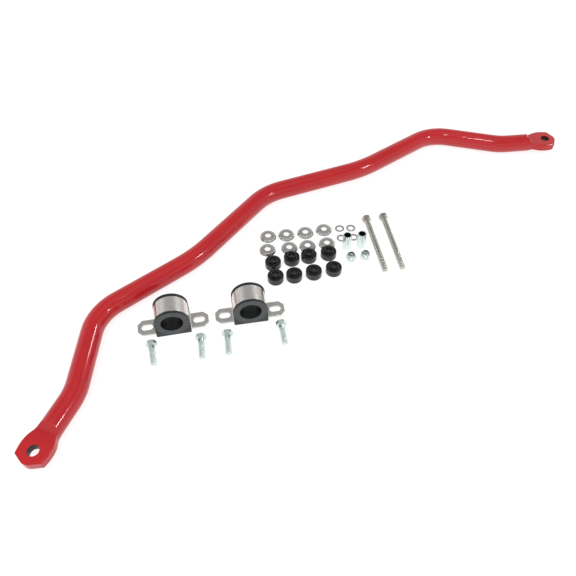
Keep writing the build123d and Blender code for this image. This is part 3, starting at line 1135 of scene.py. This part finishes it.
@dataclass
class Threaded(Part):
    """Three-eighths hexagon hardware: what bolts and nuts share.

    Attributes:
        thread: Outer radius of the thread.
        depth: Depth of the thread.
        pitch: Distance between its ridges.
        flat: Distance from the axis to a flat of the hexagon.
        chamfer: Height over which the head's corners are turned off.
        sides: Points round the piece.
        corner_power: Power of the hexagon's section; a larger one gives tighter corners.
        turning_blend: Sharpness of the edge between a flat and the turned chamfer.
        thread_rows: Rows to each pitch of thread.
    """

    thread: float = 4.7625 * MM
    depth: float = 0.79 * MM
    pitch: float = 1.5875 * MM
    flat: float = 7.1425 * MM
    chamfer: float = 1.1 * MM
    sides: int = 108
    corner_power: float = 64.0
    turning_blend: float = 90.0
    thread_rows: int = 8

    def angles(self) -> Array:
        """Angles about the axis, as one row."""
        return np.linspace(0, 2 * math.pi, self.sides, endpoint=False)[None, :]

    def hexagon(self, angle: Array) -> Array:
        """Distance to the hexagon's side by angle, with its corners slightly rounded.

        Formula: the flat's distance over the high-power mean of the cosines to the three pairs
        of flats, which leaves small round corners.
        """
        power = self.corner_power
        terms = sum(np.abs(np.cos(angle - k * math.pi / 3)) ** power for k in range(3))
        return self.flat / terms ** (1 / power)

    def ridge(self, height: Array, angle: Array) -> Array:
        """Depth of a right-hand thread, 0 at the crest and 1 at the root.

        Formula: a triangle wave, softened at its points, of height over pitch less angle over
        a full turn.
        """
        softening = 0.985
        phase = 2 * math.pi * height / self.pitch - angle
        return np.arccos(softening * np.cos(phase)) / math.pi

    def turned_hexagon(self, limit: Array, share: Array, circle: Array) -> Array:
        """Radius of a hexagon turned down to a limit, moved a share of the way to a circle."""
        angle = self.angles()
        limited = smooth_min(self.hexagon(angle), limit[:, None], self.turning_blend)
        return limited * (1 - share[:, None]) + circle[:, None] * share[:, None]

    def wrap(self, height: Array, radius: Array, ring: bool) -> Shell:
        """Shell of rows of radii at their heights."""
        angle = self.angles()
        flat = np.zeros_like(radius)
        points = [radius * np.cos(angle), radius * np.sin(angle), height[:, None] + flat]
        return Shell(np.stack(points, axis=-1), ring=ring)


@dataclass
class HexBolt(Threaded):
    """A hexagon bolt on its side, with its thread.

    Attributes:
        node: CAD node and body of the bolt.
        finish: Its finish.
        slot: Its material slot.
        length: Length under the head.
        threaded: Length of the thread.
        head: Height of the head.
        tip: Size of the chamfer at its end.
        under_fillet: Fillet between shank and head.
    """

    node: str = ""
    finish: Union[Metal, None] = None
    slot: str = ""
    length: float = 31.75 * MM
    threaded: float = 25.4 * MM
    head: float = 6.0 * MM
    tip: float = 1.1 * MM
    under_fillet: float = 0.4 * MM

    def rows(self) -> tuple[Array, Array, Array, Array, Array]:
        """Height, turning limit, share of the circle, circle and thread share of each row."""
        corner = self.flat * 2 / SQRT3
        face = corner - self.chamfer * SQRT3
        drop = np.linspace(0, 1, 15) * self.chamfer * (1 + 1 / SQRT3)
        wide = 2 * corner
        shank, fillet = self.thread, self.under_fillet
        quarter = np.linspace(0, 1, 5) * math.pi / 2
        plain_end = self.length - self.threaded
        start = self.length - self.tip
        steps = int(round((start - plain_end) / self.pitch * self.thread_rows))
        blocks = [
            [(-self.head, wide, 1.0, face * k, 0.0) for k in (0.3, 0.6, 0.9, 0.97)],
            [(-self.head + d, face + SQRT3 * d, 0.0, 0.0, 0.0) for d in drop],
            [(z, wide, 0.0, 0.0, 0.0) for z in (-3.6 * MM, -2.0 * MM, -0.6 * MM, -0.3 * MM)],
            [(-0.08 * MM, wide, 0.02, face, 0.0), (0.0, wide, 0.08, face, 0.0)],
            [(0.0, wide, 0.2, face, 0.0), (0.0, wide, 1.0, shank + fillet + 1.2 * MM, 0.0)],
            [(fillet * math.sin(a), wide, 1.0, shank + fillet * (1 - math.sin(a)), 0.0)
             for a in quarter],
            [(z, wide, 1.0, shank, 0.0) for z in np.linspace(fillet + 0.2 * MM, plain_end, 6)],
            [(z, wide, 1.0, shank, 1.0) for z in np.linspace(plain_end, start, steps)[1:]],
            [(start + k * self.tip, wide, 1.0, shank - self.tip * k * 0.95, 1 - 0.8 * k)
             for k in (0.25, 0.5, 0.75, 1.0)],
            [(self.length, wide, 1.0, (shank - self.tip) * k, 0.0) for k in (0.96, 0.5)]]
        table = np.array([row for block in blocks for row in block])
        return tuple(table.T)

    def shell(self) -> Shell:
        """The bolt about its own axis, from its head's top to its tip."""
        height, limit, share, circle, cut_share = self.rows()
        angle = self.angles()
        radius = self.turned_hexagon(limit, share, circle)
        plain_end = self.length - self.threaded
        run_in = 1.6 * self.pitch
        fade = smooth_step((height - plain_end) / run_in) * cut_share
        groove = self.depth * self.ridge(height[:, None], angle) * fade[:, None]
        return self.wrap(height, np.maximum(radius - groove, 0.2 * MM), ring=False)

    def axes(self) -> Axes:
        """The bolt's own axes: Z towards its tip, X square to the flat that it lies on."""
        place, axis = mount(f"{self.node}_shank")
        origin = place - axis * self.length / 2
        level = np.cross(UP, axis)
        flat_normal = np.cross(axis, level)
        return Axes(origin, flat_normal, axis)

    def build(self) -> None:
        """Makes the bolt."""
        bolt = mesh_piece(f"{self.node}_steel", self.shell(), self.axes(), 27.0)
        self.settle(bolt, self.node, self.node, self.slot, self.finish.material())


@dataclass
class LockNut(Threaded):
    """A lock nut that stands on its face, collar up, with its nylon ring.

    Attributes:
        number: Which of the nuts it is.
        hex_height: Height of the hexagon.
        total: Height with the collar.
        collar: Radius of the collar.
        nut_chamfer: Height over which the nut's corners are turned off.
        mouth: Radius of the collar's opening.
        pocket: Radius of the pocket for the nylon ring.
        pocket_floor: Height of the pocket's floor.
        ring_bore: Radius of the ring's hole.
        ring_top: Height of its top.
    """

    number: int = 1
    hex_height: float = 8.4 * MM
    total: float = 11.6 * MM
    collar: float = 6.3225 * MM
    nut_chamfer: float = 0.9 * MM
    mouth: float = 5.15 * MM
    pocket: float = 5.6 * MM
    pocket_floor: float = 8.6 * MM
    ring_bore: float = 4.45 * MM
    ring_top: float = 10.95 * MM

    def rows(self) -> tuple[Array, Array, Array, Array, Array]:
        """Height, turning limit, share of the circle, circle and thread share of each row."""
        corner = self.flat * 2 / SQRT3
        face = corner - self.nut_chamfer * SQRT3
        drop = np.linspace(0, 1, 11) * self.nut_chamfer * (1 + 1 / SQRT3)
        wide, lip = 2 * corner, 0.55 * MM
        quarter = np.linspace(0, 1, 7) * math.pi / 2
        steps = int(round((self.pocket_floor - 1.0 * MM) / self.pitch * self.thread_rows))
        blocks = [
            [(0.0, wide, 1.0, r, 0.0) for r in (5.3 * MM, 5.5 * MM, face * 0.97)],
            [(d, face + SQRT3 * d, 0.0, 0.0, 0.0) for d in drop],
            [(z, wide, 0.0, 0.0, 0.0) for z in (2.2 * MM, 4.2 * MM, 6.2 * MM)],
            [(self.hex_height - d, face + SQRT3 * d, 0.0, 0.0, 0.0) for d in drop[::-1]],
            [(self.hex_height, wide, 1.0, self.collar + 0.2 * MM, 0.0)],
            [(self.hex_height + 0.2 * MM, wide, 1.0, self.collar, 0.0)],
            [(self.total - lip - 0.3 * MM, wide, 1.0, self.collar, 0.0)],
            [(self.total - lip * (1 - math.sin(a)), wide, 1.0,
              self.collar - lip * (1 - math.cos(a)), 0.0) for a in quarter],
            [(self.total - 0.02 * MM, wide, 1.0, self.mouth + 0.3 * MM, 0.0)],
            [(self.total - 0.25 * MM, wide, 1.0, self.mouth, 0.0)],
            [(self.ring_top + 0.03 * MM, wide, 1.0, self.mouth + 0.1 * MM, 0.0)],
            [(self.ring_top + 0.02 * MM, wide, 1.0, self.pocket, 0.0)],
            [(self.pocket_floor, wide, 1.0, self.pocket, 0.0)],
            [(self.pocket_floor, wide, 1.0, self.thread + 0.1 * MM, 0.0)],
            [(z, wide, 1.0, self.thread, 1.0)
             for z in np.linspace(self.pocket_floor - 0.05 * MM, 0.9 * MM, steps)],
            [(0.3 * MM, wide, 1.0, 5.0 * MM, 0.0)]]
        table = np.array([row for block in blocks for row in block])
        return tuple(table.T)

    def shell(self) -> Shell:
        """The nut's body as one ring about its axis."""
        height, limit, share, circle, cut_share = self.rows()
        radius = self.turned_hexagon(limit, share, circle)
        groove = self.depth * (1 - self.ridge(height[:, None], self.angles()))
        return self.wrap(height, radius - groove * cut_share[:, None], ring=True)

    def turn(self, place: Array) -> float:
        """Angle of one of the hexagon's corners, read from the CAD nut's farthest vertex."""
        mesh = frame["nodes"][f"lock_nut_{self.number}"].data
        points = np.zeros(len(mesh.vertices) * 3)
        mesh.vertices.foreach_get("co", points)
        away = points.reshape(-1, 3)[:, :2] - place[:2]
        far = away[np.argmax((away ** 2).sum(1))]
        return math.atan2(far[1], far[0])

    def build(self) -> None:
        """Makes the nut and its nylon ring."""
        place = mount(f"lock_nut_{self.number}_thread")[0]
        axes = Axes.standing(place[0], place[1], self.turn(place) - math.pi / 6)
        nut = mesh_piece(f"lock_nut_{self.number}_steel", self.shell(), axes, 27.0)
        body = f"lock_nut_{self.number}"
        self.settle(nut, body, body, "clear_zinc", CLEAR_ZINC.material())
        low, high, inner, outer = (self.pocket_floor + 0.03 * MM, self.ring_top, self.ring_bore,
                                   self.pocket - 0.03 * MM)
        profile = turned_outline([(inner, low, 0.3 * MM), (outer, low, 0.1 * MM),
                                  (outer, high, 0.1 * MM), (inner, high, 0.5 * MM)])
        ring = mesh_piece(f"lock_nut_{self.number}_nylon", lathe(profile), axes)
        self.settle(ring, f"lock_nut_insert_{self.number}", body, "nylon", NYLON.material())


@dataclass
class TurnedKind:
    """A kind of loose ring: its outline and its finish.

    Attributes:
        stem: CAD nodes of this kind are this stem and a number.
        mount_stem: What follows the number in the name of its mount.
        count: How many there are.
        profile: Corners as (radius, height, round-over), in millimetres.
        finish: Its material's maker.
        slot: Its material slot.
        crease: Angle past which an edge is shaded sharp, in degrees.
    """

    stem: str
    mount_stem: str
    count: int
    profile: list[tuple[float, float, float]]
    finish: Union[Metal, CastRubber]
    slot: str
    crease: float = 40.0


HOLE = 4.9625  # radius of the bolt's clearance hole, in millimetres as the profiles are
CUP_WASHER = TurnedKind("cup_washer", "hole", 8, [
    (HOLE, 4.4, 0.2), (9.2, 4.4, 6.0), (11.8, 3.95, 1.0), (14.3, 0.0, 0.25), (12.4, 0.0, 0.25),
    (10.65, 2.8, 0.5), (HOLE, 2.8, 0.2)], WASHER_STEEL, "washer_steel")
GROMMET = TurnedKind("grommet", "hole", 8, [
    (HOLE, 0.0, 0.4), (12.7, 0.0, 2.2), (12.7, 12.7, 0.9), (10.6, 12.7, 0.45), (10.3, 11.5, 0.5),
    (7.35, 11.5, 0.7), (7.35, 16.7, 0.8), (HOLE, 16.7, 0.5)],
    GROMMET_RUBBER, "grommet_polyurethane")
FLAT_WASHER = TurnedKind("flat_washer", "hole", 4, [
    (HOLE, 0.0, 0.15), (7.95, 0.0, 0.35), (7.95, 1.6, 0.35), (HOLE, 1.6, 0.15)],
    WASHER_STEEL, "washer_steel")
SPACER_SLEEVE = TurnedKind("spacer_sleeve", "bore", 2, [
    (5.5, 0.0, 0.35), (7.1525, 0.0, 0.45), (7.1525, 28.6, 0.45), (5.5, 28.6, 0.35)],
    SLEEVE_ZINC, "clear_zinc")


@dataclass
class TurnedRings(Part):
    """All loose rings of one kind, each on its own body.

    Attributes:
        kind: The kind.
        turn_between: Turn from one ring to the next, in radians, so that no two look the same.
    """

    kind: TurnedKind
    turn_between: float = 0.7

    def build(self) -> None:
        """Makes every ring of the kind."""
        kind = self.kind
        material = kind.finish.material()
        outline = turned_outline([(r * MM, z * MM, e * MM) for r, z, e in kind.profile], steps=6)
        for number in range(1, kind.count + 1):
            name = f"{kind.stem}_{number}"
            place = mount(f"{name}_{kind.mount_stem}")[0]
            axes = Axes.standing(place[0], place[1], self.turn_between * number)
            piece = mesh_piece(f"{name}_ring", lathe(outline), axes, kind.crease)
            self.settle(piece, name, name, kind.slot, material)


# ------------------------------------------------------------------------------ the studio

@dataclass
class Studio:
    """Pale floor, soft lights and the camera.

    Attributes:
        camera_place: Where the camera stands.
        camera_turn: How it is turned, in degrees.
        lens: Its focal length in millimetres.
        floor_size: Side of the floor.
        floor_drop: How far the floor is under the pieces.
        sky: Grey of the surroundings, as pairs of height and grey.
        sky_strength: Strength of the surroundings.
    """

    camera_place: tuple[float, float, float] = (-0.4535, -0.5122, 0.7005)
    camera_turn: tuple[float, float, float] = (39.71, 0.0, -38.13)
    lens: float = 36.54
    floor_size: float = 8.0
    floor_drop: float = 0.2 * MM
    sky_strength: float = 0.9
    sky: tuple[tuple[float, float], ...] = ((0.0, 0.70), (0.5, 0.92), (0.68, 0.48), (0.78, 0.33),
                                            (0.88, 0.50), (1.0, 0.80))

    def floor(self) -> None:
        """A plain pale floor, a hair under the pieces."""
        half = self.floor_size / 2
        mesh = bpy.data.meshes.new("floor")
        corners = [(-half, -half), (half, -half), (half, half), (-half, half)]
        mesh.from_pydata([(x, y, -self.floor_drop) for x, y in corners], [], [(0, 1, 2, 3)])
        floor = bpy.data.objects.new("floor", mesh)
        bpy.context.scene.collection.objects.link(floor)
        shader = Shader("floor_white")
        mesh.materials.append(shader.finish(
            Base_Color=(0.28, 0.28, 0.28, 1), Roughness=0.9, Specular_IOR_Level=0.1,
            Emission_Color=(1, 1, 1, 1), Emission_Strength=0.82))

    def light(self, name: str, place: tuple[float, float, float], size: tuple[float, float],
              power: float, mirrored: bool) -> None:
        """An area light aimed at the middle of the layout.

        Args:
            name: Its name.
            place: Where it hangs.
            size: Its width and height.
            power: Its power in watts.
            mirrored: Whether glossy surfaces show it.
        """
        data = bpy.data.lights.new(name, "AREA")
        data.shape = "RECTANGLE"
        data.size, data.size_y = size
        data.energy = power
        light = bpy.data.objects.new(name, data)
        bpy.context.scene.collection.objects.link(light)
        light.visible_glossy = mirrored
        light.location = place
        aim = -np.array(place)
        light.rotation_euler = (math.atan2(math.hypot(aim[0], aim[1]), -aim[2]), 0.0,
                                math.atan2(-aim[0], aim[1]))

    def world(self) -> None:
        """Surroundings that change only with height, with a dim band high up for the metals."""
        world = bpy.data.worlds.new("surroundings")
        bpy.context.scene.world = world
        world.use_nodes = True
        tree = world.node_tree
        tree.nodes.clear()
        coordinates, split, ramp, background, output = (
            tree.nodes.new(f"ShaderNode{kind}")
            for kind in ("TexCoord", "SeparateXYZ", "ValToRGB", "Background", "OutputWorld"))
        tree.links.new(coordinates.outputs["Generated"], split.inputs[0])
        tree.links.new(split.outputs[2], ramp.inputs[0])
        tree.links.new(ramp.outputs[0], background.inputs[0])
        tree.links.new(background.outputs[0], output.inputs[0])
        elements = ramp.color_ramp.elements
        while len(elements) < len(self.sky):
            elements.new(1.0)
        for element, (place, grey) in zip(elements, self.sky):
            element.position, element.color = place, (0.99 * grey, grey, 1.01 * grey, 1)
        background.inputs[1].default_value = self.sky_strength

    def camera(self) -> None:
        """The camera, which looks down from the bar's left front."""
        data = bpy.data.cameras.new("camera")
        data.lens = self.lens
        data.sensor_width = 36.0
        camera = bpy.data.objects.new("camera", data)
        bpy.context.scene.collection.objects.link(camera)
        camera.location = self.camera_place
        camera.rotation_euler = tuple(math.radians(a) for a in self.camera_turn)
        bpy.context.scene.camera = camera

    def build(self) -> None:
        """Sets up the whole studio."""
        self.floor()
        self.world()
        self.light("key", (0.95, -1.35, 1.20), (0.22, 0.22), 5.0, True)
        self.light("side", (1.60, 0.05, 1.25), (0.18, 0.18), 3.0, True)
        self.light("top", (-0.10, -0.72, 1.65), (0.18, 0.18), 2.5, True)
        self.light("fill", (-1.15, -0.1, 1.95), (1.6, 1.4), 24.0, False)
        self.camera()
        bpy.context.scene.view_settings.view_transform = "Standard"


def main() -> None:
    """Builds every sub-assembly in order."""
    logging.basicConfig(level=logging.INFO, format="%(name)s: %(message)s")
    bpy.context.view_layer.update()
    Studio().build()
    SwayBar().build()
    for side in ("left", "right"):
        FrameBushing(side=side).build()
    for number in range(1, 5):
        HexBolt(node=f"bracket_bolt_{number}", finish=CLEAR_ZINC, slot="clear_zinc").build()
    for number in (1, 2):
        HexBolt(node=f"link_bolt_{number}", finish=LINK_STEEL, slot="plated_link_steel",
                length=114.3 * MM, threaded=35.0 * MM).build()
    for kind in (CUP_WASHER, GROMMET, FLAT_WASHER, SPACER_SLEEVE):
        TurnedRings(kind=kind).build()
    for number in (1, 2):
        LockNut(number=number).build()


if __name__ == "__main__":
    main()
